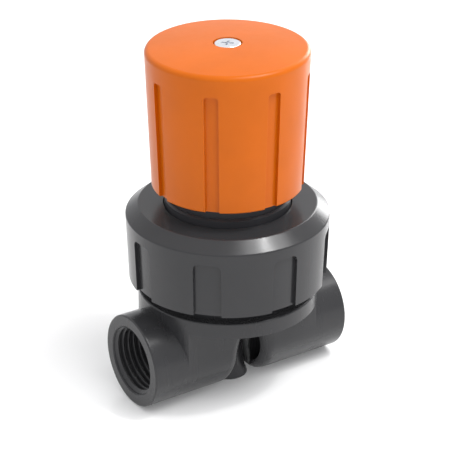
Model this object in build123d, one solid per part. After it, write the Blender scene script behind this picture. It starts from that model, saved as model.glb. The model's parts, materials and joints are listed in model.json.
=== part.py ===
from build123d import *
import os

# Hand-operated diaphragm valve, DN 15, with a bell handwheel and a union nut. Millimetres.
# The origin is on the spindle's axis, in the plane that the valve stands on.
# +Z points up the spindle, and +X along the flow. The valve is fully open.

# ---- driving dimensions ----
# LOW and HIGH are heights, and R is a radius.

# body
FACE_TO_FACE = 68.0
TUBE_R = 14.0
PORT_THREAD_R = 10.478  # major radius of a G 1/2 thread
PORT_THREAD_LENGTH = 15.0
MOUTH_CHAMFER, MOUTH_ROUNDING = 0.25, 0.5
FLANGE_R = 26.7
FLANGE_LOW, FLANGE_HIGH = 25.8, 30.6
FLANGE_ROUNDING = 0.5
NECK_R, NECK_HIGH = 24.0, 45.2
SEAT_R, SEAT_Z = 20.7, 36.0
BOWL_RIM_R, BOWL_DEPTH = 16.5, 5.0
BOWL_BALL_R = (BOWL_RIM_R**2 + BOWL_DEPTH**2) / (2 * BOWL_DEPTH)
PASSAGE_R = 7.0
PASSAGE_START = (20.0, 14.0)  # x and z where the passage leaves the port
PASSAGE_END = (9.5, 34.0)  # x and z where it comes up beside the weir
PASSAGE_OVERRUN = 1.25  # the cutter's length over the passage's own
ARCH_HALF_WIDTH, ARCH_SPRINGING, ARCH_TOP = 4.2, 9.0, 20.0
ARCH_ROUNDING = 4.2
BOSS_FOOT_R, BOSS_WAIST, BOSS_NECK = 5.9, (4.85, 3.5), (4.45, 9.0)  # radius, then radius and height
BOSS_GAP, BOSS_GAP_HIGH = 0.9, 13.0
WEB_HALF_WIDTH = 3.1
POCKET_R = 11.4
POCKET_WALL = ((9.7, 0.0), (8.7, 4.0), (8.2, 9.0), (7.0, 16.0))  # x and z of its back wall

# brass insert in the boss, with two grip grooves
INSERT_R, INSERT_HOLE_R, INSERT_DEPTH = 3.6, 2.1, 9.0
INSERT_GROOVES = (2.4, 5.2)
INSERT_GROOVE_WIDTH, INSERT_GROOVE_DEPTH = 0.7, 0.4

# union nut
NUT_LOW, NUT_HIGH = 34.15, 57.25
NUT_LOW_R, NUT_HIGH_R = 29.3, 30.0
NUT_CHAMFER_Z, NUT_FACE_R = 54.2, 26.2
NUT_ROUNDING = 0.6
NUT_THREAD_R, NUT_BORE_R = 24.15, 18.9
NUT_SHOULDER_Z = 52.65
NUT_RECESS_TOP, NUT_RECESS_WIDTH, NUT_RECESS_DEPTH = 50.9, 8.2, 1.1
NUT_RECESS_CORNER = 2.0

# bonnet
BONNET_PLUG_R, BONNET_LOW = 20.4, 38.55
BONNET_FLANGE_R, BONNET_FLANGE_LOW, BONNET_FLANGE_HIGH = 23.8, 46.0, 51.6
COLLAR_R, COLLAR_HIGH = 18.45, 59.6
BONNET_NECK_R, BONNET_HIGH = 17.5, 84.0
BONNET_CHAMFER = 0.5
GUIDE_R, GUIDE_HIGH = 14.3, 58.0
KEYWAY_R, KEYWAY_WIDTH, KEYWAY_HIGH = 16.2, 4.4, 52.0

# clearances
RUNNING = 0.05  # radial, of a running fit
LOOSE = 0.2
SOFT_GAP = 0.3  # round the rubber and other soft pieces

# diaphragm and the stud moulded into it
MEMBRANE, BEAD_THICKNESS = 1.8, 2.5
LIFT = 5.5
DIAPHRAGM_LOW = SEAT_Z - BOWL_DEPTH + LIFT
DIAPHRAGM_BOSS_R, DIAPHRAGM_BOSS_HIGH = 6.0, 40.6
STUD_R, STUD_HIGH = 2.0, 47.5
STUD_HEAD_R, STUD_HEAD_HEIGHT, STUD_HEAD_COVER = 4.2, 1.6, 1.0

# compressor
COMPRESSOR_LOW = DIAPHRAGM_LOW + MEMBRANE + SOFT_GAP
COMPRESSOR_R, COMPRESSOR_SHOULDER = 13.6, 50.0
COMPRESSOR_HUB_R, COMPRESSOR_HIGH = 10.0, 57.4
PRESSER_R, PRESSER_HEIGHT, PRESSER_LIP = 13.2, 3.3, 0.5
KEY_LOW, KEY_HIGH = 43.6, 47.6
SPINDLE_POCKET_R = 6.5
COMPRESSOR_INSERT_R, COMPRESSOR_INSERT_HIGH = 4.2, 46.6

# retaining ring and its lugs
RETAINER_R, RETAINER_GROOVE = 7.3, (55.35, 56.35)
RETAINER_DEPTH = 0.5  # how far the ring stands into the spindle's pocket
LUG_CENTRE, LUG_R, LUG_HOLE_R, LUG_ANGLE = 6.05, 0.85, 0.4, 16.0
RETAINER_GAP = 1.9

# spindle
SPINDLE_COLLAR_R, SPINDLE_COLLAR_LOW, SPINDLE_COLLAR_HIGH = 6.2, 51.3, 54.1
SPINDLE_THREAD_R, THREAD_LOW, THREAD_HIGH = 5.0, 56.8, 77.3
THREAD_CHAMFER = 0.6
SPINDLE_SMOOTH_R, SPINDLE_HEX_LOW, SPINDLE_HIGH = 4.0, 90.0, 100.2
HEX_ACROSS_FLATS = 6.9

# threaded bush and stem seal
BUSH_R, BUSH_FLANGE_R, BUSH_LOW, BUSH_HIGH = 8.5, 10.5, 60.0, 76.0
BUSH_FLANGE_THICKNESS = 1.8
SEAL_SECTION_R, SEAL_FLOOR = 1.15, 78.7
SEAL_POCKET_R = SPINDLE_SMOOTH_R + 2 * SEAL_SECTION_R + 2 * RUNNING
GLAND_HIGH = 83.6

# handwheel
WHEEL_LOW, WHEEL_HIGH = 63.4, 104.9
WHEEL_LOW_R, WHEEL_HIGH_R = 22.15, 23.6
WHEEL_CROWN, WHEEL_ROUNDING, WHEEL_RIM_ROUNDING = 1.5, 1.45, 0.5
WHEEL_BORE_R, WHEEL_ROOF = 18.95, 100.5
WHEEL_HUB_R, WHEEL_HUB_LOW = 9.0, 90.2
FLUTE_TOP, FLUTE_WIDTH, FLUTE_DEPTH, FLUTE_CORNER = 98.8, 4.15, 1.1, 1.0
GRIPS = 8  # flutes in the handwheel, and recesses in the nut
RIB_THICKNESS, RIB_LOW = 1.8, 95.5

# O-ring between the bonnet's neck and the handwheel's skirt
SKIRT_SEAL_GAP, SKIRT_SEAL_SECTION_R, SKIRT_SEAL_Z = 0.08, 0.85, 72.0
SKIRT_SEAL_R = WHEEL_BORE_R - SKIRT_SEAL_GAP - SKIRT_SEAL_SECTION_R

# brass socket in the handwheel's hub, with two grip rings
SOCKET_R, SOCKET_LOW = 6.6, 90.5
SOCKET_RING_R, SOCKET_RING_HEIGHT, SOCKET_RINGS = 7.2, 2.2, (91.7, 95.8)

# handwheel screw and its washers
SCREW_R, SCREW_LOW = 2.0, 91.0
SCREW_HEAD_R, SCREW_HEAD_HEIGHT, SCREW_TOP = 3.8, 2.5, 106.25
SCREW_HEAD_ROUNDING = 0.4
CROSS_LENGTH, CROSS_WIDTH, CROSS_DEPTH = 3.6, 0.8, 1.6
SCREW_POCKET_R = 4.2
LOCK_WASHER_R, LOCK_WASHER_THICKNESS = 3.6, 0.9
LOCK_WASHER_SPLIT, LOCK_WASHER_SPLIT_TILT = 0.5, 25.0
FLAT_WASHER_R, FLAT_WASHER_THICKNESS = 4.0, 0.8
SCREW_SEAT = SCREW_TOP - SCREW_HEAD_HEIGHT - LOCK_WASHER_THICKNESS - FLAT_WASHER_THICKNESS

CUT = 1.0  # how far a cutter runs past the face it cuts
NEAR = 0.1  # two lengths closer than this are the same
BASE = (Align.CENTER, Align.CENTER, Align.MIN)


# ---- shared shapes ----


def disc(radius, low, high):
    """A cylinder about the spindle's axis."""
    return Pos(0, 0, low) * Cylinder(radius, high - low, align=BASE)


def ring(outer, inner, low, high):
    """A plain ring about the spindle's axis."""
    return disc(outer, low, high) - disc(inner, low - CUT, high + CUT)


def taper(low_radius, high_radius, low, high):
    """A truncated cone about the spindle's axis."""
    return Pos(0, 0, low) * Cone(low_radius, high_radius, high - low, align=BASE)


def torus(centre_radius, section_radius, z):
    """An O-ring about the spindle's axis."""
    return Pos(0, 0, z) * Torus(centre_radius, section_radius)


def block(x, y, z):
    """A box between pairs of limits along X, Y and Z."""
    size = Box(x[1] - x[0], y[1] - y[0], z[1] - z[0], align=(Align.MIN, Align.MIN, Align.MIN))
    return Pos(x[0], y[0], z[0]) * size


def flow_cylinder(radius, start, end):
    """A cylinder along the ports' axis, between two distances from the spindle."""
    near, far = sorted((start, end))
    port = Plane(origin=(near, 0, TUBE_R), x_dir=(0, 1, 0), z_dir=(1, 0, 0))
    return port * Cylinder(radius, far - near, align=BASE)


def ball_cap(sphere_radius, low, radius, high):
    """The bottom of a ball that rests at low, out to a radius from the spindle's axis."""
    ball = Pos(0, 0, low + sphere_radius) * Sphere(sphere_radius)
    return ball & disc(radius, low - CUT, high)


def hexagon(across_flats, low, high):
    """A hexagonal bar along the spindle's axis."""
    outline = RegularPolygon(across_flats / 2, 6, major_radius=False)
    return Pos(0, 0, low) * extrude(outline, amount=high - low)


def circles(solid):
    """Every circular edge of a solid."""
    return solid.edges().filter_by(GeomType.CIRCLE)


def grip_cutters(width, corner, top, depth, low, high, radii):
    """Round-topped recesses of even depth, up from the foot of a tapered grip.

    The grip has the radii at the heights low and high.
    """
    outline = Pos(0, (low - CUT + top) / 2) * Rectangle(width, top - low + CUT)
    outline = fillet(outline.vertices().group_by(Axis.Y)[-1], corner)
    prism = extrude(Plane.XZ * outline, amount=radii[1] + CUT)
    slope = (radii[1] - radii[0]) / (high - low)
    floor_low_r = radii[0] - depth - 2 * CUT * slope
    floor_high_r = radii[0] - depth + (top + 2 * CUT - low) * slope
    cutter = prism - taper(floor_low_r, floor_high_r, low - 2 * CUT, top + 2 * CUT)
    return [Rot(0, 0, 360 / GRIPS * turn) * cutter for turn in range(GRIPS)]


# ---- body ----


def weir_arch():
    """The gap under the weir between the two tubes, right through the body in Y."""
    legs = Pos(0, (ARCH_SPRINGING - CUT) / 2) * Rectangle(2 * ARCH_HALF_WIDTH, ARCH_SPRINGING + CUT)
    crown = Pos(0, ARCH_SPRINGING) * Ellipse(ARCH_HALF_WIDTH, ARCH_TOP - ARCH_SPRINGING)
    return extrude(Plane.XZ * (legs + crown), amount=FLANGE_R, both=True)


def on_arch(edge):
    """Whether an edge of the shell is one of the arch's outer edges."""
    middle = edge.center()
    return (
        abs(middle.X) < ARCH_HALF_WIDTH + CUT
        and middle.Z < ARCH_TOP + CUT
        and abs(middle.Y) > CUT
        and edge.length > CUT
    )


def on_tube_end(edge):
    """Whether an edge of the shell is a tube's round inner end."""
    round_edge = edge.geom_type == GeomType.CIRCLE
    return round_edge and abs(abs(edge.center().X) - ARCH_HALF_WIDTH) < NEAR


def rounded_shell():
    """Tubes and weir block, parted by the arch, whose outer edges are rounded."""
    tube = flow_cylinder(TUBE_R, -FACE_TO_FACE / 2, FACE_TO_FACE / 2)
    flat_sides = block((-FLANGE_R, FLANGE_R), (-TUBE_R, TUBE_R), (TUBE_R, FLANGE_LOW))
    weir_block = disc(FLANGE_R, TUBE_R, FLANGE_LOW) & flat_sides
    shell = tube + weir_block - weir_arch()
    rims = [edge for edge in shell.edges() if on_arch(edge) or on_tube_end(edge)]
    return fillet(rims, ARCH_ROUNDING)


def passage(side):
    """The way from one port's thread up to the weir's side: level, a bend, then inclined."""
    start = Vector(side * PASSAGE_START[0], 0, PASSAGE_START[1])
    end = Vector(side * PASSAGE_END[0], 0, PASSAGE_END[1])
    incline = Plane(origin=start, x_dir=(0, 1, 0), z_dir=end - start)
    length = (end - start).length * PASSAGE_OVERRUN
    rise = incline * Cylinder(PASSAGE_R, length, align=BASE)
    bend = Pos(start.X, start.Y, start.Z) * Sphere(PASSAGE_R)
    level = flow_cylinder(PASSAGE_R, side * (FACE_TO_FACE / 2 - PORT_THREAD_LENGTH), start.X)
    return [level, bend + rise]


def pockets():
    """Shallow pockets in the tubes' inner ends, either side of the web and the boss."""
    right = [(POCKET_WALL[0][0], -CUT), *POCKET_WALL]
    left = [(-x, z) for x, z in reversed(right)]
    outline = make_face(Polyline(*right, *left, close=True))
    space = extrude(Plane.XZ * outline, amount=TUBE_R, both=True)
    reach = flow_cylinder(POCKET_R, -TUBE_R, TUBE_R)
    web = block((-TUBE_R, TUBE_R), (-WEB_HALF_WIDTH, WEB_HALF_WIDTH), (-2 * CUT, ARCH_TOP))
    return (space & reach) - web + disc(BOSS_FOOT_R + BOSS_GAP, -CUT, BOSS_GAP_HIGH)


def boss():
    """Post under the weir, flared towards its foot."""
    flare = ThreePointArc((BOSS_FOOT_R, 0), BOSS_WAIST, BOSS_NECK)
    neck_r = BOSS_NECK[0]
    rest = Polyline(BOSS_NECK, (neck_r, ARCH_TOP + CUT), (0, ARCH_TOP + CUT), (0, 0), (BOSS_FOOT_R, 0))
    return revolve(Plane.XZ * make_face([flare, *rest.edges()]), Axis.Z)


def make_body():
    """Tubes, weir, flange, threaded neck and boss, moulded in one."""
    flange = disc(FLANGE_R, FLANGE_LOW, FLANGE_HIGH)
    flange = fillet(circles(flange).sort_by(Axis.Z)[-1], FLANGE_ROUNDING)
    solid = rounded_shell() - pockets()
    solid += flange + disc(NECK_R, FLANGE_HIGH - CUT, NECK_HIGH)
    solid += boss()
    solid -= disc(SEAT_R, SEAT_Z, NECK_HIGH + CUT)
    solid -= ball_cap(BOWL_BALL_R, SEAT_Z - BOWL_DEPTH, BOWL_RIM_R, SEAT_Z + CUT)
    for side in (-1, 1):
        mouth = side * FACE_TO_FACE / 2
        solid -= flow_cylinder(PORT_THREAD_R, mouth, mouth - side * PORT_THREAD_LENGTH)
        for cutter in passage(side):
            solid -= cutter
    solid -= disc(INSERT_R, -CUT, INSERT_DEPTH)
    solid = round_mouths(solid, TUBE_R, MOUTH_ROUNDING, fillet)
    return round_mouths(solid, PORT_THREAD_R, MOUTH_CHAMFER, chamfer)


def round_mouths(solid, radius, size, breaking):
    """Breaks the edges of one radius on both of the body's end faces."""
    edges = [
        edge
        for edge in circles(solid)
        if abs(abs(edge.center().X) - FACE_TO_FACE / 2) < NEAR and abs(edge.radius - radius) < NEAR
    ]
    return breaking(edges, size)


# ---- the other pieces ----


def make_base_insert():
    """Brass M5 insert, grooved so that it grips the boss."""
    insert = ring(INSERT_R, INSERT_HOLE_R, 0, INSERT_DEPTH)
    groove = ring(INSERT_R + CUT, INSERT_R - INSERT_GROOVE_DEPTH, 0, INSERT_GROOVE_WIDTH)
    return insert - [Pos(0, 0, low) * groove for low in INSERT_GROOVES]


def make_union_nut():
    """Tapered nut with grip recesses, a chamfered top and a shoulder over the slip ring."""
    nut = taper(NUT_LOW_R, NUT_HIGH_R, NUT_LOW, NUT_CHAMFER_Z)
    nut += taper(NUT_HIGH_R, NUT_FACE_R, NUT_CHAMFER_Z, NUT_HIGH)
    nut = fillet(circles(nut).filter_by_position(Axis.Z, NUT_LOW + CUT, NUT_HIGH), NUT_ROUNDING)
    nut -= disc(NUT_THREAD_R, NUT_LOW - CUT, NUT_SHOULDER_Z)
    nut -= disc(NUT_BORE_R, NUT_SHOULDER_Z - CUT, NUT_HIGH + CUT)
    return nut - grip_cutters(
        NUT_RECESS_WIDTH,
        NUT_RECESS_CORNER,
        NUT_RECESS_TOP,
        NUT_RECESS_DEPTH,
        NUT_LOW,
        NUT_CHAMFER_Z,
        (NUT_LOW_R, NUT_HIGH_R),
    )


def make_slip_ring():
    """Flat ring between the nut's shoulder and the bonnet's flange."""
    outer, inner = BONNET_FLANGE_R - LOOSE, COLLAR_R + 2 * LOOSE
    return ring(outer, inner, BONNET_FLANGE_HIGH, NUT_SHOULDER_Z - RUNNING)


def make_bonnet():
    """Plug, flange, collar and neck, with a guide for the compressor and seats for bush and seal."""
    collar = disc(COLLAR_R, BONNET_FLANGE_HIGH - CUT, COLLAR_HIGH)
    neck = disc(BONNET_NECK_R, COLLAR_HIGH - CUT, BONNET_HIGH)
    bonnet = disc(BONNET_PLUG_R, BONNET_LOW, BONNET_FLANGE_LOW)
    bonnet += disc(BONNET_FLANGE_R, BONNET_FLANGE_LOW, BONNET_FLANGE_HIGH)
    for step in (collar, neck):
        bonnet += chamfer(circles(step).sort_by(Axis.Z)[-1], BONNET_CHAMFER)
    keyway = block((0, KEYWAY_R), (-KEYWAY_WIDTH / 2, KEYWAY_WIDTH / 2), (BONNET_LOW - CUT, KEYWAY_HIGH))
    bonnet -= [Rot(0, 0, angle) * keyway for angle in (0, 180)]
    bonnet -= disc(GUIDE_R, BONNET_LOW - CUT, GUIDE_HIGH)
    bonnet -= disc(BUSH_FLANGE_R, GUIDE_HIGH - CUT, BUSH_LOW)
    bonnet -= disc(BUSH_R, BUSH_LOW - CUT, BUSH_HIGH)
    bonnet -= disc(SPINDLE_THREAD_R + SOFT_GAP, BUSH_HIGH - CUT, BONNET_HIGH + CUT)
    bonnet -= disc(SEAL_POCKET_R, SEAL_FLOOR, BONNET_HIGH + CUT)
    groove_low, groove_high = SKIRT_SEAL_Z - SKIRT_SEAL_SECTION_R, SKIRT_SEAL_Z + SKIRT_SEAL_SECTION_R
    return bonnet - ring(BONNET_NECK_R + CUT, SKIRT_SEAL_R - SKIRT_SEAL_SECTION_R, groove_low, groove_high)


def make_spindle_nut():
    """Brass threaded bush, held up in the bonnet by its flange."""
    low = BUSH_LOW - BUSH_FLANGE_THICKNESS
    bush = disc(BUSH_R, low, BUSH_HIGH) + disc(BUSH_FLANGE_R, low, BUSH_LOW)
    return bush - disc(SPINDLE_THREAD_R + RUNNING, low - CUT, BUSH_HIGH + CUT)


def make_stem_seal():
    """O-ring on the spindle's smooth neck."""
    centre_r = SPINDLE_SMOOTH_R + RUNNING + SEAL_SECTION_R
    return torus(centre_r, SEAL_SECTION_R, SEAL_FLOOR + SEAL_SECTION_R + RUNNING)


def make_gland_ring():
    """Ring that closes the stem seal's pocket."""
    low = SEAL_FLOOR + 2 * SEAL_SECTION_R + 2 * RUNNING
    return ring(SEAL_POCKET_R, SPINDLE_SMOOTH_R + 2 * RUNNING, low, GLAND_HIGH)


def make_skirt_seal():
    """O-ring that keeps dirt out from under the handwheel's skirt."""
    return torus(SKIRT_SEAL_R, SKIRT_SEAL_SECTION_R, SKIRT_SEAL_Z)


def make_diaphragm_stud():
    """A round head inside the rubber, and a shank that stands up out of it."""
    low = DIAPHRAGM_LOW + STUD_HEAD_COVER
    return disc(STUD_HEAD_R, low, low + STUD_HEAD_HEIGHT) + disc(STUD_R, low, STUD_HIGH)


def make_diaphragm():
    """Rubber disc: a thick bead at the rim, a thin web and a boss in the middle."""
    rubber = disc(BOWL_RIM_R + CUT, DIAPHRAGM_LOW, DIAPHRAGM_LOW + MEMBRANE)
    rubber += ring(SEAT_R - SOFT_GAP, BOWL_RIM_R, SEAT_Z, SEAT_Z + BEAD_THICKNESS)
    rubber += disc(DIAPHRAGM_BOSS_R, DIAPHRAGM_LOW, DIAPHRAGM_BOSS_HIGH)
    return rubber - make_diaphragm_stud()


def make_compressor():
    """Domed presser with two guide keys and a pocket for the spindle's foot."""
    presser_high = COMPRESSOR_LOW + PRESSER_HEIGHT
    dome_r = BOWL_BALL_R - MEMBRANE - SOFT_GAP
    key_r, key_half = KEYWAY_R - SOFT_GAP, KEYWAY_WIDTH / 2 - LOOSE / 2
    compressor = disc(COMPRESSOR_R, presser_high - PRESSER_LIP, COMPRESSOR_SHOULDER)
    compressor += ball_cap(dome_r, COMPRESSOR_LOW, PRESSER_R, presser_high)
    compressor += block((-key_r, key_r), (-key_half, key_half), (KEY_LOW, KEY_HIGH))
    compressor += disc(COMPRESSOR_HUB_R, COMPRESSOR_SHOULDER - CUT, COMPRESSOR_HIGH)
    boss_high = DIAPHRAGM_BOSS_HIGH + SOFT_GAP
    compressor -= disc(DIAPHRAGM_BOSS_R + SOFT_GAP, COMPRESSOR_LOW - CUT, boss_high)
    compressor -= disc(COMPRESSOR_INSERT_R, DIAPHRAGM_BOSS_HIGH, COMPRESSOR_INSERT_HIGH)
    compressor -= disc(STUD_R + RUNNING, DIAPHRAGM_BOSS_HIGH, COMPRESSOR_SHOULDER - CUT)
    compressor -= disc(SPINDLE_POCKET_R, COMPRESSOR_SHOULDER, COMPRESSOR_HIGH + CUT)
    return compressor - disc(RETAINER_R, *RETAINER_GROOVE)


def make_compressor_insert():
    """Brass insert that the diaphragm's stud screws into."""
    low = DIAPHRAGM_BOSS_HIGH + SOFT_GAP
    return ring(COMPRESSOR_INSERT_R, STUD_R + RUNNING, low, COMPRESSOR_INSERT_HIGH)


def make_lower_thrust_washer():
    """Under the spindle's foot."""
    outer = SPINDLE_POCKET_R - LOOSE / 2
    return ring(outer, STUD_R, COMPRESSOR_SHOULDER, SPINDLE_COLLAR_LOW - RUNNING)


def make_upper_thrust_washer():
    """Above the spindle's collar."""
    outer, inner = SPINDLE_POCKET_R - LOOSE / 2, SPINDLE_SMOOTH_R + LOOSE
    return ring(outer, inner, SPINDLE_COLLAR_HIGH + RUNNING, RETAINER_GROOVE[0] - RUNNING)


def make_retaining_ring():
    """Internal spring ring with a gap and two holed lugs."""
    low, high = RETAINER_GROOVE[0] + RUNNING, RETAINER_GROOVE[1] - RUNNING
    spring = ring(RETAINER_R - RUNNING, SPINDLE_POCKET_R - RETAINER_DEPTH, low, high)
    lug_places = [Rot(0, 0, angle) * Pos(0, -LUG_CENTRE, 0) for angle in (-LUG_ANGLE, LUG_ANGLE)]
    spring += [place * disc(LUG_R, low, high) for place in lug_places]
    spring -= [place * disc(LUG_HOLE_R, low - CUT, high + CUT) for place in lug_places]
    gap = block((-RETAINER_GAP / 2, RETAINER_GAP / 2), (-RETAINER_R - CUT, 0), (low - CUT, high + CUT))
    return spring - gap


def make_spindle():
    """Foot collar, threaded stretch, smooth neck, hexagon and a tapped end."""
    thread = disc(SPINDLE_THREAD_R, THREAD_LOW, THREAD_HIGH)
    spindle = disc(SPINDLE_COLLAR_R, SPINDLE_COLLAR_LOW, SPINDLE_COLLAR_HIGH)
    spindle += disc(SPINDLE_SMOOTH_R, SPINDLE_COLLAR_LOW, SPINDLE_HEX_LOW)
    spindle += chamfer(circles(thread), THREAD_CHAMFER)
    spindle += hexagon(HEX_ACROSS_FLATS, SPINDLE_HEX_LOW - CUT, SPINDLE_HIGH)
    return spindle - disc(SCREW_R + RUNNING, SCREW_LOW - CUT, SPINDLE_HIGH + CUT)


def socket_blank(low):
    """Outer form of the brass socket, from a height up to the handwheel's roof."""
    rings = [disc(SOCKET_RING_R, z, z + SOCKET_RING_HEIGHT) for z in SOCKET_RINGS]
    return disc(SOCKET_R, low, WHEEL_ROOF) + rings


def make_handwheel_insert():
    """Brass socket for the spindle's hexagon."""
    bore = hexagon(HEX_ACROSS_FLATS + 2 * RUNNING, SOCKET_LOW - CUT, WHEEL_ROOF + CUT)
    return socket_blank(SOCKET_LOW) - bore


def wheel_blank():
    """The handwheel's outer form: a tapered drum with a crowned, rounded top."""
    rim, shoulder = (WHEEL_LOW_R, WHEEL_LOW), (WHEEL_HIGH_R, WHEEL_HIGH)
    peak = (0, WHEEL_HIGH + WHEEL_CROWN)
    crown = TangentArc(peak, shoulder, tangent=(1, 0))
    sides = Polyline(shoulder, rim, (0, WHEEL_LOW), peak)
    section = make_face([crown, *sides.edges()])
    section = fillet(section.vertices().sort_by(Axis.X)[-1], WHEEL_ROUNDING)
    lowest_corners = section.vertices().group_by(Axis.Y)[0]
    section = fillet(lowest_corners.sort_by(Axis.X)[-1], WHEEL_RIM_ROUNDING)
    return revolve(Plane.XZ * section, Axis.Z)


def make_handwheel():
    """Bell handwheel with flutes, a ribbed hub and a pocket for the screw's head."""
    half_rib = RIB_THICKNESS / 2
    rib = block((0, WHEEL_BORE_R + CUT), (-half_rib, half_rib), (RIB_LOW, WHEEL_ROOF + CUT))
    wheel = wheel_blank() - disc(WHEEL_BORE_R, WHEEL_LOW - CUT, WHEEL_ROOF)
    wheel += disc(WHEEL_HUB_R, WHEEL_HUB_LOW, WHEEL_ROOF + CUT)
    wheel += [Rot(0, 0, 360 / GRIPS * (turn + 0.5)) * rib for turn in range(GRIPS)]
    wheel -= socket_blank(WHEEL_HUB_LOW - CUT)
    wheel -= disc(SCREW_R + SOFT_GAP, WHEEL_ROOF - CUT, SCREW_TOP)
    wheel -= disc(SCREW_POCKET_R, SCREW_SEAT, SCREW_TOP + CUT)
    return wheel - grip_cutters(
        FLUTE_WIDTH,
        FLUTE_CORNER,
        FLUTE_TOP,
        FLUTE_DEPTH,
        WHEEL_LOW,
        WHEEL_HIGH,
        (WHEEL_LOW_R, WHEEL_HIGH_R),
    )


def make_flat_washer():
    """Under the spring washer."""
    return ring(FLAT_WASHER_R, SCREW_R + LOOSE, SCREW_SEAT, SCREW_SEAT + FLAT_WASHER_THICKNESS)


def make_lock_washer():
    """Split spring washer under the screw's head."""
    low = SCREW_SEAT + FLAT_WASHER_THICKNESS
    washer = ring(LOCK_WASHER_R, SCREW_R + LOOSE, low, low + LOCK_WASHER_THICKNESS)
    split = Rot(LOCK_WASHER_SPLIT_TILT, 0, 0) * Box(
        LOCK_WASHER_R, LOCK_WASHER_SPLIT, 4 * LOCK_WASHER_THICKNESS
    )
    return washer - Pos(LOCK_WASHER_R, 0, low + LOCK_WASHER_THICKNESS / 2) * split


def make_handwheel_screw():
    """M4 pan-head screw with a cross recess."""
    head_low = SCREW_TOP - SCREW_HEAD_HEIGHT
    head = disc(SCREW_HEAD_R, head_low, SCREW_TOP)
    head = fillet(circles(head).sort_by(Axis.Z)[-1], SCREW_HEAD_ROUNDING)
    arm = Box(CROSS_LENGTH, CROSS_WIDTH, 2 * CROSS_DEPTH)
    cross = [Pos(0, 0, SCREW_TOP) * Rot(0, 0, angle) * arm for angle in (45, 135)]
    return head + disc(SCREW_R, SCREW_LOW, head_low) - cross


def main():
    """Writes every piece to its own file."""
    os.makedirs("parts", exist_ok=True)
    pieces = {
        "body": make_body(),
        "base_insert": make_base_insert(),
        "union_nut": make_union_nut(),
        "slip_ring": make_slip_ring(),
        "bonnet": make_bonnet(),
        "spindle_nut": make_spindle_nut(),
        "stem_seal": make_stem_seal(),
        "gland_ring": make_gland_ring(),
        "skirt_seal": make_skirt_seal(),
        "diaphragm": make_diaphragm(),
        "diaphragm_stud": make_diaphragm_stud(),
        "compressor": make_compressor(),
        "compressor_insert": make_compressor_insert(),
        "lower_thrust_washer": make_lower_thrust_washer(),
        "upper_thrust_washer": make_upper_thrust_washer(),
        "retaining_ring": make_retaining_ring(),
        "spindle": make_spindle(),
        "handwheel_insert": make_handwheel_insert(),
        "handwheel": make_handwheel(),
        "flat_washer": make_flat_washer(),
        "lock_washer": make_lock_washer(),
        "handwheel_screw": make_handwheel_screw(),
    }
    for name, piece in pieces.items():
        export_step(piece, f"parts/{name}.step")


main()
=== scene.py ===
import json
from math import cos, radians, sin, sqrt, tau

import bmesh
import bpy
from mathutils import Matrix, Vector


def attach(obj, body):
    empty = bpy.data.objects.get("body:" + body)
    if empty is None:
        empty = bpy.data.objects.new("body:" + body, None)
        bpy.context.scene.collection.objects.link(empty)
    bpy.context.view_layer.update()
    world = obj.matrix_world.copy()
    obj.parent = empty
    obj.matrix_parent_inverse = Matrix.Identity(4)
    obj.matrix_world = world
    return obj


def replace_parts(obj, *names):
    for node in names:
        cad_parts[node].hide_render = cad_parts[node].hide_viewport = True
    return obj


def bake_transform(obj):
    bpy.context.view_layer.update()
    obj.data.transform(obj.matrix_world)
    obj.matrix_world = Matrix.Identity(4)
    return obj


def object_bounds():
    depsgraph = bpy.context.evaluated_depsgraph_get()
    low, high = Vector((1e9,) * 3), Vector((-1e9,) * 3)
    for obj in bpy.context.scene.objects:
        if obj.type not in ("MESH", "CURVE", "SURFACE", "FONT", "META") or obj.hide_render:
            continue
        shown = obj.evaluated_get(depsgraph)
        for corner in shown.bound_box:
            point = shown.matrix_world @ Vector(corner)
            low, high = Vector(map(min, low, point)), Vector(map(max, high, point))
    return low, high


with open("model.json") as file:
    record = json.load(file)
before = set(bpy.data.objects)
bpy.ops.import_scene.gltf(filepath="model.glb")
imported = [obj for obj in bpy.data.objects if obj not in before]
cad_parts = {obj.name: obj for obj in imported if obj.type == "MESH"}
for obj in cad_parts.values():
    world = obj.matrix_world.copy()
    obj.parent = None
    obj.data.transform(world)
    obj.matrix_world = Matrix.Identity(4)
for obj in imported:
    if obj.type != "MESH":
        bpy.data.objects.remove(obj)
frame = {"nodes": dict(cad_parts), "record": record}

# Diaphragm valve: materials, port threads, threaded spindle, rubber diaphragm, floor, lights and
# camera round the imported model. Metres, in the model's own frame: +Z up the spindle, +X the flow.

MM = 0.001
cad_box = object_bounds()
top_z = cad_box[1].z
mounts = {mount["name"]: mount for mount in frame["record"]["mounts"]}
nodes = frame["nodes"]


# ---- small helpers ----


def add_node(tree, kind, inputs=None, **settings):
    """A shader node with its settings made and its inputs set or linked."""
    node = tree.nodes.new(kind)
    for key, value in settings.items():
        setattr(node, key, value)
    for key, value in (inputs or {}).items():
        if isinstance(value, bpy.types.NodeSocket):
            tree.links.new(value, node.inputs[key])
        else:
            node.inputs[key].default_value = value
    return node


def ramp(tree, factor, low, high, to_low, to_high):
    """A factor stretched from one range to another, and clamped."""
    stretched = add_node(
        tree,
        "ShaderNodeMapRange",
        {"Value": factor, "From Min": low, "From Max": high, "To Min": to_low, "To Max": to_high},
    )
    return stretched.outputs["Result"]


def mix_colour(tree, factor, first, second):
    """Two colours mixed by a factor."""
    mixed = add_node(tree, "ShaderNodeMix", data_type="RGBA")
    for socket, value in ((mixed.inputs[0], factor), (mixed.inputs[6], first), (mixed.inputs[7], second)):
        if isinstance(value, bpy.types.NodeSocket):
            tree.links.new(value, socket)
        else:
            socket.default_value = (*value, 1) if hasattr(value, "__len__") else value
    return mixed.outputs[2]


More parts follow.
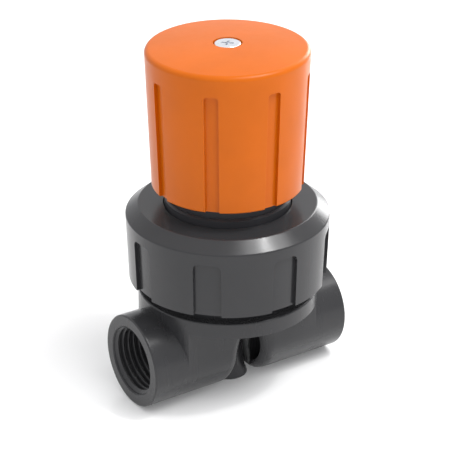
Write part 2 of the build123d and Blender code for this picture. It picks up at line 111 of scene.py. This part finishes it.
def noise(tree, place, scale, detail=3.0, roughness=0.5):
    """Noise over the object's own space. The scale is in features per metre."""
    made = add_node(
        tree,
        "ShaderNodeTexNoise",
        {"Vector": place, "Scale": scale, "Detail": detail, "Roughness": roughness},
    )
    return made.outputs["Fac"]


def object_space(tree, stretch=(1, 1, 1)):
    """Coordinates in the object's own space, stretched along the axes."""
    place = add_node(tree, "ShaderNodeTexCoord").outputs["Object"]
    return add_node(tree, "ShaderNodeMapping", {"Vector": place, "Scale": stretch}).outputs["Vector"]


def edge_mask(tree, radius):
    """1 on the object's sharp edges, falling to 0 within a radius of them."""
    rounded = add_node(tree, "ShaderNodeBevel", {"Radius": radius}, samples=6)
    true_normal = add_node(tree, "ShaderNodeNewGeometry").outputs["Normal"]
    match = add_node(tree, "ShaderNodeVectorMath", operation="DOT_PRODUCT")
    tree.links.new(rounded.outputs["Normal"], match.inputs[0])
    tree.links.new(true_normal, match.inputs[1])
    return ramp(tree, match.outputs["Value"], 0.96, 0.75, 0, 1)


def bump(tree, height, distance, strength, normal=None):
    """A normal roughened by a height map."""
    inputs = {"Height": height, "Distance": distance, "Strength": strength}
    if normal is not None:
        inputs["Normal"] = normal
    return add_node(tree, "ShaderNodeBump", inputs).outputs["Normal"]


def new_material(name):
    """An empty material with its tree and its shader."""
    material = bpy.data.materials.new(name)
    material.use_nodes = True
    tree = material.node_tree
    return material, tree, tree.nodes["Principled BSDF"]


# ---- materials ----


def moulded_plastic(name, colour, worn_colour, roughness, grain=0.03, specular=0.38, subsurface=0.0):
    """Moulded plastic: fine spark-eroded grain, faint clouds of colour, flow marks, paler edges."""
    material, tree, shader = new_material(name)
    place = object_space(tree)
    clouds = noise(tree, place, 70, detail=4)
    flow = noise(tree, object_space(tree, (1, 1, 0.12)), 420, detail=2)
    specks = noise(tree, place, 5200, detail=2)
    deep = tuple(0.96 * channel for channel in colour)
    bright = tuple(min(1.0, 1.04 * channel) for channel in colour)
    shade = mix_colour(tree, ramp(tree, clouds, 0.35, 0.65, 0, 1), deep, bright)
    shade = mix_colour(tree, ramp(tree, specks, 0.3, 0.75, 0, 0.06), shade, bright)
    edges = edge_mask(tree, 0.35 * MM)
    worn = add_node(tree, "ShaderNodeMath", {0: edges, 1: ramp(tree, clouds, 0.3, 0.7, 0.15, 0.6)})
    worn.operation = "MULTIPLY"
    shade = mix_colour(tree, worn.outputs[0], shade, worn_colour)
    tree.links.new(shade, shader.inputs["Base Color"])
    gloss = ramp(tree, flow, 0.3, 0.7, roughness - 0.02, roughness + 0.02)
    tree.links.new(gloss, shader.inputs["Roughness"])
    grained = bump(tree, specks, 0.03 * MM, grain)
    waved = bump(tree, clouds, 0.25 * MM, 0.05, grained)
    tree.links.new(waved, shader.inputs["Normal"])
    shader.inputs["Specular IOR Level"].default_value = specular
    if subsurface:
        shader.inputs["Subsurface Weight"].default_value = subsurface
        shader.inputs["Subsurface Scale"].default_value = 0.6 * MM
        shader.inputs["Subsurface Radius"].default_value = (1.0, 0.45, 0.2)
    return material


def machined_metal(name, colour, dark_colour, roughness, turned=True, grain=0.2):
    """Turned metal: rings of tool marks about the spindle, faint stains, brighter edges."""
    material, tree, shader = new_material(name)
    place = object_space(tree)
    stains = noise(tree, place, 260, detail=5)
    marks = noise(tree, object_space(tree, (0.15, 0.15, 6) if turned else (1, 6, 1)), 1500, detail=3)
    shade = mix_colour(tree, ramp(tree, stains, 0.4, 0.7, 0, 1), colour, dark_colour)
    bright = tuple(min(1.0, 1.15 * channel) for channel in colour)
    shade = mix_colour(tree, edge_mask(tree, 0.2 * MM), shade, bright)
    tree.links.new(shade, shader.inputs["Base Color"])
    gloss = ramp(tree, marks, 0.3, 0.7, roughness - 0.08, roughness + 0.08)
    tree.links.new(gloss, shader.inputs["Roughness"])
    tree.links.new(bump(tree, marks, 0.02 * MM, grain), shader.inputs["Normal"])
    shader.inputs["Metallic"].default_value = 1.0
    return material


def moulded_rubber(name, colour):
    """Rubber: matt, with a fine pitted grain and faint bloom."""
    material, tree, shader = new_material(name)
    place = object_space(tree)
    pits = noise(tree, place, 3800, detail=3, roughness=0.7)
    bloom = noise(tree, place, 180, detail=5)
    bloomed = tuple(min(1.0, 2.2 * channel) for channel in colour)
    shade = mix_colour(tree, ramp(tree, bloom, 0.45, 0.75, 0, 0.6), colour, bloomed)
    tree.links.new(shade, shader.inputs["Base Color"])
    tree.links.new(ramp(tree, bloom, 0.3, 0.7, 0.55, 0.75), shader.inputs["Roughness"])
    tree.links.new(bump(tree, pits, 0.03 * MM, 0.35), shader.inputs["Normal"])
    shader.inputs["Sheen Weight"].default_value = 0.08
    return material


materials = {
    "handwheel_plastic": moulded_plastic(
        "handwheel_plastic",
        (0.56, 0.115, 0.001),
        (0.70, 0.20, 0.03),
        0.33,
        grain=0.08,
        specular=0.2,
        subsurface=0.05,
    ),
    "body_plastic": moulded_plastic("body_plastic", (0.028, 0.028, 0.03), (0.06, 0.06, 0.064), 0.26),
    "nut_plastic": moulded_plastic("nut_plastic", (0.028, 0.028, 0.03), (0.06, 0.06, 0.064), 0.24),
    "bonnet_plastic": moulded_plastic("bonnet_plastic", (0.03, 0.03, 0.034), (0.06, 0.06, 0.065), 0.38),
    "slide_plastic": moulded_plastic("slide_plastic", (0.72, 0.71, 0.66), (0.78, 0.77, 0.73), 0.4),
    "rubber": moulded_rubber("rubber", (0.012, 0.012, 0.013)),
    "brass": machined_metal("brass", (0.78, 0.55, 0.22), (0.58, 0.38, 0.14), 0.28),
    "steel": machined_metal("steel", (0.62, 0.62, 0.63), (0.48, 0.48, 0.5), 0.26),
    "spring_steel": machined_metal("spring_steel", (0.2, 0.19, 0.19), (0.11, 0.11, 0.12), 0.4),
    "zinc": machined_metal("zinc", (0.86, 0.88, 0.92), (0.74, 0.77, 0.82), 0.3, turned=False),
}

slot_of = {part["node"]: part["material_slot"] for part in frame["record"]["subparts"]}
for name, node in nodes.items():
    node.data.materials.clear()
    node.data.materials.append(materials[slot_of[name]])


# ---- detail pieces ----


def smooth_between(value, start, end):
    """0 before start, 1 after end, and a smooth rise between them."""
    share = min(max((value - start) / (end - start), 0), 1)
    return share * share * (3 - 2 * share)


def ring_mesh(name, rows, around, close=False):
    """A mesh of rings of points. Each row gives a point for a turn; the ends get a fan."""
    mesh = bmesh.new()
    rings = [[mesh.verts.new(row(tau * step / around)) for step in range(around)] for row in rows]
    pairs = list(zip(rings, rings[1:] + rings[:1] if close else rings[1:]))
    for low, high in pairs:
        for step in range(around):
            nxt = (step + 1) % around
            mesh.faces.new((low[step], low[nxt], high[nxt], high[step]))
    if not close:
        mesh.faces.new(reversed(rings[0]))
        mesh.faces.new(rings[-1])
    bmesh.ops.recalc_face_normals(mesh, faces=mesh.faces[:])
    data = bpy.data.meshes.new(name)
    mesh.to_mesh(data)
    mesh.free()
    data.shade_smooth()
    piece = bpy.data.objects.new(name, data)
    bpy.context.scene.collection.objects.link(piece)
    return piece


def finish_piece(piece, slot, body):
    """Gives a piece its material and the body it moves with."""
    piece.data.materials.append(materials[slot])
    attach(piece, body)
    return piece


# Whitworth form: 55 degrees, 14 threads to the inch, rounded crests and roots.
THREAD_PITCH = 1.814 * MM
THREAD_DEPTH = 1.162 * MM
THREAD_STEPS = 14  # rows in one pitch
PORT_AROUND = 96


def thread_wave(turns):
    """How far a 55 degree thread stands out of its root at a place in its pitch, from 0 to 1."""
    share = turns % 1.0
    flank = 2 * min(share, 1 - share)
    return smooth_between(flank, 0.08, 0.92) * 0.35 + min(max((flank - 0.12) / 0.76, 0), 1) * 0.65


def port_thread(name, mount):
    """The threaded lining of one port, from its mouth to the end of its thread."""
    out = mount["axis"][0]
    centre_z = mount["pos_m"][2]
    root_r = mount["dims"]["r_mm"] * MM - 0.07 * MM
    outer_r = root_r + 0.05 * MM
    mouth_x = out * (cad_box[1].x - 0.3 * MM)
    length = (mount["dims"]["length_mm"] - 0.3) * MM
    count = round(length / THREAD_PITCH * THREAD_STEPS)

    def inner_row(index):
        along = length * index / count

        def point(angle):
            fade = smooth_between(along, 0, 0.7 * THREAD_PITCH)
            fade *= 1 - smooth_between(along, length - 0.8 * THREAD_PITCH, length - 0.1 * THREAD_PITCH)
            depth = THREAD_DEPTH * fade * thread_wave(along / THREAD_PITCH - out * angle / tau)
            radius = root_r - depth
            return (mouth_x - out * along, radius * cos(angle), centre_z + radius * sin(angle))

        return point

    def outer_row(along):
        return lambda angle: (
            mouth_x - out * along,
            outer_r * cos(angle),
            centre_z + outer_r * sin(angle),
        )

    rows = [inner_row(index) for index in range(count + 1)] + [outer_row(length), outer_row(0)]
    return finish_piece(ring_mesh(name, rows, PORT_AROUND, close=True), "body_plastic", "body")


for side in ("inlet", "outlet"):
    port_thread(f"{side}_port_thread", mounts[f"{side}_port"])


def round_row(radius, z):
    """A row of a turned mesh: a circle about the spindle's axis."""
    return lambda angle: (radius * MM * cos(angle), radius * MM * sin(angle), z * MM)


def hexagon_row(across_flats, z):
    """A row of a turned mesh: a hexagon about the spindle's axis."""

    def point(angle):
        from_flat = (angle + radians(30)) % radians(60) - radians(30)
        radius = across_flats / 2 / cos(from_flat) * MM
        return (radius * cos(angle), radius * sin(angle), z * MM)

    return point


# The spindle, in millimetres: radius and height of its turned outline, then its thread.
SPINDLE_FOOT = ((5.9, 51.3), (6.2, 51.6), (6.2, 53.8), (5.9, 54.1), (4.3, 54.1), (4.0, 54.4), (4.0, 56.8))
SPINDLE_NECK = ((4.0, 77.3), (4.0, 89.6), (3.4, 90.0))
SPINDLE_THREAD = (56.8, 77.3)
SPINDLE_PITCH, SPINDLE_CREST_R, SPINDLE_THREAD_DEPTH = 2.0, 5.0, 1.0
SPINDLE_HEXAGON, SPINDLE_FLATS = (90.0, 99.9), 6.9
SPINDLE_TOP, SPINDLE_TAPPED_R, SPINDLE_TAPPED_LOW = 100.2, 2.05, 90.0
SPINDLE_FADE, SPINDLE_HEXAGON_CHAMFER = 1.2, 0.5
SPINDLE_AROUND, SPINDLE_ROWS_A_TURN = 72, 16


def spindle_thread_row(z):
    """A row of the spindle's screw thread, which fades out at both ends."""
    low, high = SPINDLE_THREAD

    def point(angle):
        fade = smooth_between(z, low, low + SPINDLE_FADE)
        fade *= 1 - smooth_between(z, high - SPINDLE_FADE, high)
        rise = thread_wave(z / SPINDLE_PITCH - angle / tau) * fade
        radius = (SPINDLE_CREST_R - SPINDLE_THREAD_DEPTH * (1 - rise)) * MM
        return (radius * cos(angle), radius * sin(angle), z * MM)

    return point


def threaded_spindle():
    """Collar, screw thread, smooth neck, hexagon and tapped end."""
    low, high = SPINDLE_THREAD
    count = round((high - low) / SPINDLE_PITCH * SPINDLE_ROWS_A_TURN)
    rows = [round_row(*place) for place in SPINDLE_FOOT]
    rows += [spindle_thread_row(low + (high - low) * index / count) for index in range(1, count)]
    rows += [round_row(*place) for place in SPINDLE_NECK]
    rows += [hexagon_row(SPINDLE_FLATS, z) for z in SPINDLE_HEXAGON]
    rows += [hexagon_row(SPINDLE_FLATS - SPINDLE_HEXAGON_CHAMFER, SPINDLE_TOP)]
    rows += [round_row(SPINDLE_TAPPED_R, z) for z in (SPINDLE_TOP, SPINDLE_TAPPED_LOW)]
    spindle = ring_mesh("spindle_turned", rows, SPINDLE_AROUND)
    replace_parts(finish_piece(spindle, "steel", "handwheel_set"), "spindle")


threaded_spindle()

# The diaphragm, in millimetres. Its web is made in sectors.
DIAPHRAGM_LOW, DIAPHRAGM_HIGH = 36.5, 40.6
BEAD_INNER_R, BEAD_OUTER_R = 16.5, 20.4
BEAD_ROUNDING = 0.25
DIAPHRAGM_BOSS_R = 6.0
STUD_R, STUD_HEAD_R, STUD_HEAD_LOW, STUD_HEAD_HIGH = 2.03, 4.23, 0.97, 2.63
WEB_THICKNESS = 1.8
BEAD_LOW, BEAD_HIGH = 36.0, 38.5
BOWL_RIM_Z, BOWL_DEPTH, BOWL_GAP = 36.0, 5.0, 0.25
TRAVEL = 5.5
BOSS_UNDERSIDE_RADII = (0.5, 2.0, 3.5, 5.0, 5.7)
WEB_SECTORS = 12
WEB_STEPS_OUT, WEB_STEPS_ROUND = 26, 10
BEND_OUTER_R, BEND_INNER_R = 15.8, 6.2


def bowl_height(radius):
    """How high the round bowl in the body lies."""
    ball_r = (BEAD_INNER_R**2 + BOWL_DEPTH**2) / (2 * BOWL_DEPTH)
    return BOWL_RIM_Z - (sqrt(ball_r**2 - radius**2) - (ball_r - BOWL_DEPTH))


def web_height(radius):
    """How high the web's underside lies: just over the bowl near the bead, raised by the travel towards
    the boss.
    """
    share = smooth_between(radius, BEND_OUTER_R, BEND_INNER_R)
    return bowl_height(radius) + BOWL_GAP + TRAVEL * share


def web_sector(index):
    """One closed sector of the web, from the boss to the bead."""
    middle = tau * index / WEB_SECTORS
    mesh = bmesh.new()
    layers = []
    for thickness in (0, WEB_THICKNESS):
        layer = []
        for out in range(WEB_STEPS_OUT + 1):
            radius = DIAPHRAGM_BOSS_R + (BEAD_INNER_R - DIAPHRAGM_BOSS_R) * out / WEB_STEPS_OUT
            row = []
            for step in range(WEB_STEPS_ROUND + 1):
                angle = middle + tau / WEB_SECTORS * (step / WEB_STEPS_ROUND - 0.5)
                height = web_height(radius) + thickness
                row.append(mesh.verts.new(round_row(radius, height)(angle)))
            layer.append(row)
        layers.append(layer)
    bottom, top = layers
    for out in range(WEB_STEPS_OUT):
        for step in range(WEB_STEPS_ROUND):
            for layer in layers:
                near, far = layer[out], layer[out + 1]
                mesh.faces.new((near[step], near[step + 1], far[step + 1], far[step]))
        for step in (0, WEB_STEPS_ROUND):
            mesh.faces.new((bottom[out][step], bottom[out + 1][step], top[out + 1][step], top[out][step]))
    for out in (0, WEB_STEPS_OUT):
        for step in range(WEB_STEPS_ROUND):
            mesh.faces.new(
                (bottom[out][step], bottom[out][step + 1], top[out][step + 1], top[out][step])
            )
    bmesh.ops.recalc_face_normals(mesh, faces=mesh.faces[:])
    data = bpy.data.meshes.new(f"diaphragm_web_{index}")
    mesh.to_mesh(data)
    mesh.free()
    data.shade_smooth()
    sector = bpy.data.objects.new(data.name, data)
    bpy.context.scene.collection.objects.link(sector)
    sector.data.materials.append(materials["rubber"])
    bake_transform(sector)
    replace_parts(sector, "diaphragm")


def rubber_diaphragm():
    """The clamped bead, the web and the boss that holds the stud's head."""
    soft = BEAD_ROUNDING
    bead = (
        (BEAD_INNER_R, BEAD_LOW + soft),
        (BEAD_INNER_R + soft, BEAD_LOW),
        (BEAD_OUTER_R - soft, BEAD_LOW),
        (BEAD_OUTER_R, BEAD_LOW + soft),
        (BEAD_OUTER_R, BEAD_HIGH - soft),
        (BEAD_OUTER_R - soft, BEAD_HIGH),
        (BEAD_INNER_R + soft, BEAD_HIGH),
        (BEAD_INNER_R, BEAD_HIGH - soft),
    )
    rows = [round_row(*place) for place in bead]
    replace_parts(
        finish_piece(ring_mesh("diaphragm_bead", rows, PORT_AROUND, close=True), "rubber", "body"),
        "diaphragm",
    )
    low, high = DIAPHRAGM_LOW, DIAPHRAGM_HIGH
    boss = [(radius, web_height(radius)) for radius in BOSS_UNDERSIDE_RADII]
    boss += (
        (DIAPHRAGM_BOSS_R, web_height(DIAPHRAGM_BOSS_R) + soft),
        (DIAPHRAGM_BOSS_R, high - soft),
        (DIAPHRAGM_BOSS_R - soft, high),
        (STUD_R, high),
        (STUD_R, low + STUD_HEAD_HIGH),
        (STUD_HEAD_R, low + STUD_HEAD_HIGH),
        (STUD_HEAD_R, low + STUD_HEAD_LOW),
    )
    rows = [round_row(*place) for place in boss]
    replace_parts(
        finish_piece(ring_mesh("diaphragm_boss", rows, PORT_AROUND), "rubber", "carriage"),
        "diaphragm",
    )
    for index in range(WEB_SECTORS):
        web_sector(index)


rubber_diaphragm()


# ---- floor, lights and camera ----

FLOOR_SIZE = 6.0
CAMERA_AIM_Z = 47.9 * MM
CAMERA_AWAY = 558 * MM
CAMERA_ELEVATION = radians(26.24)
CAMERA_TURN = radians(-33.64)  # about the spindle, from the valve's front
LENS = 149.0  # on the 36 mm sensor
FRAME_SHIFT = 0.003


def make_floor():
    """A wide pale floor with a faint gloss."""
    mesh = bpy.data.meshes.new("floor")
    half = FLOOR_SIZE / 2
    mesh.from_pydata(
        [(-half, -half, 0), (half, -half, 0), (half, half, 0), (-half, half, 0)], [], [(0, 1, 2, 3)]
    )
    floor = bpy.data.objects.new("floor", mesh)
    bpy.context.scene.collection.objects.link(floor)
    floor.location.z = cad_box[0].z - 0.05 * MM
    material, tree, shader = new_material("floor")
    tint = ramp(tree, noise(tree, object_space(tree), 9, detail=2), 0.3, 0.7, 0, 1)
    shade = mix_colour(tree, tint, (0.9, 0.9, 0.9), (0.92, 0.92, 0.92))
    tree.links.new(shade, shader.inputs["Base Color"])
    shader.inputs["Roughness"].default_value = 0.16
    mesh.materials.append(material)


def make_world():
    """Even studio light, brighter from above."""
    world = bpy.data.worlds.new("studio")
    bpy.context.scene.world = world
    world.use_nodes = True
    tree = world.node_tree
    place = add_node(tree, "ShaderNodeTexCoord").outputs["Generated"]
    height = add_node(tree, "ShaderNodeSeparateXYZ", {"Vector": place}).outputs["Z"]
    colour = mix_colour(tree, ramp(tree, height, 0, 0.9, 0, 1), (0.86, 0.87, 0.9), (1, 1, 1))
    tree.links.new(colour, tree.nodes["Background"].inputs["Color"])
    tree.nodes["Background"].inputs["Strength"].default_value = 0.98


def soft_light(name, azimuth, elevation, distance, size, power, shadow=True):
    """A rectangular soft box that faces the valve. Azimuth is measured as the camera's is."""
    light = bpy.data.lights.new(name, "AREA")
    light.shape, light.size, light.size_y = "RECTANGLE", size[0], size[1]
    light.energy, light.use_shadow = power, shadow
    lamp = bpy.data.objects.new(name, light)
    bpy.context.scene.collection.objects.link(lamp)
    turn, rise = radians(azimuth), radians(elevation)
    away = Vector((sin(turn) * cos(rise), -cos(turn) * cos(rise), sin(rise)))
    aim = Vector((0, 0, top_z / 2))
    lamp.location = aim + away * distance
    lamp.rotation_mode = "QUATERNION"
    lamp.rotation_quaternion = (-away).to_track_quat("-Z", "Y")
    return lamp


def make_camera():
    """Looks down on the valve's inlet end from the front left."""
    camera = bpy.data.objects.new("camera", bpy.data.cameras.new("camera"))
    bpy.context.scene.collection.objects.link(camera)
    camera.data.lens = LENS
    camera.data.shift_x = FRAME_SHIFT
    camera.data.clip_start, camera.data.clip_end = 0.01, 20
    away = Vector(
        (
            sin(CAMERA_TURN) * cos(CAMERA_ELEVATION),
            -cos(CAMERA_TURN) * cos(CAMERA_ELEVATION),
            sin(CAMERA_ELEVATION),
        )
    )
    camera.location = Vector((0, 0, CAMERA_AIM_Z)) + away * CAMERA_AWAY
    camera.rotation_mode = "QUATERNION"
    camera.rotation_quaternion = (-away).to_track_quat("-Z", "Y")
    bpy.context.scene.camera = camera


make_camera()
make_floor()
make_world()
soft_light("key", 32, 61, 1.1, (0.8, 0.5), 8)
soft_light("hot_spot", 42, 64, 0.9, (0.05, 0.05), 1.4)
soft_light("right_strip", 118, 14, 1.0, (0.35, 0.5), 4.5, shadow=False)
bpy.context.scene.view_settings.view_transform = "Standard"
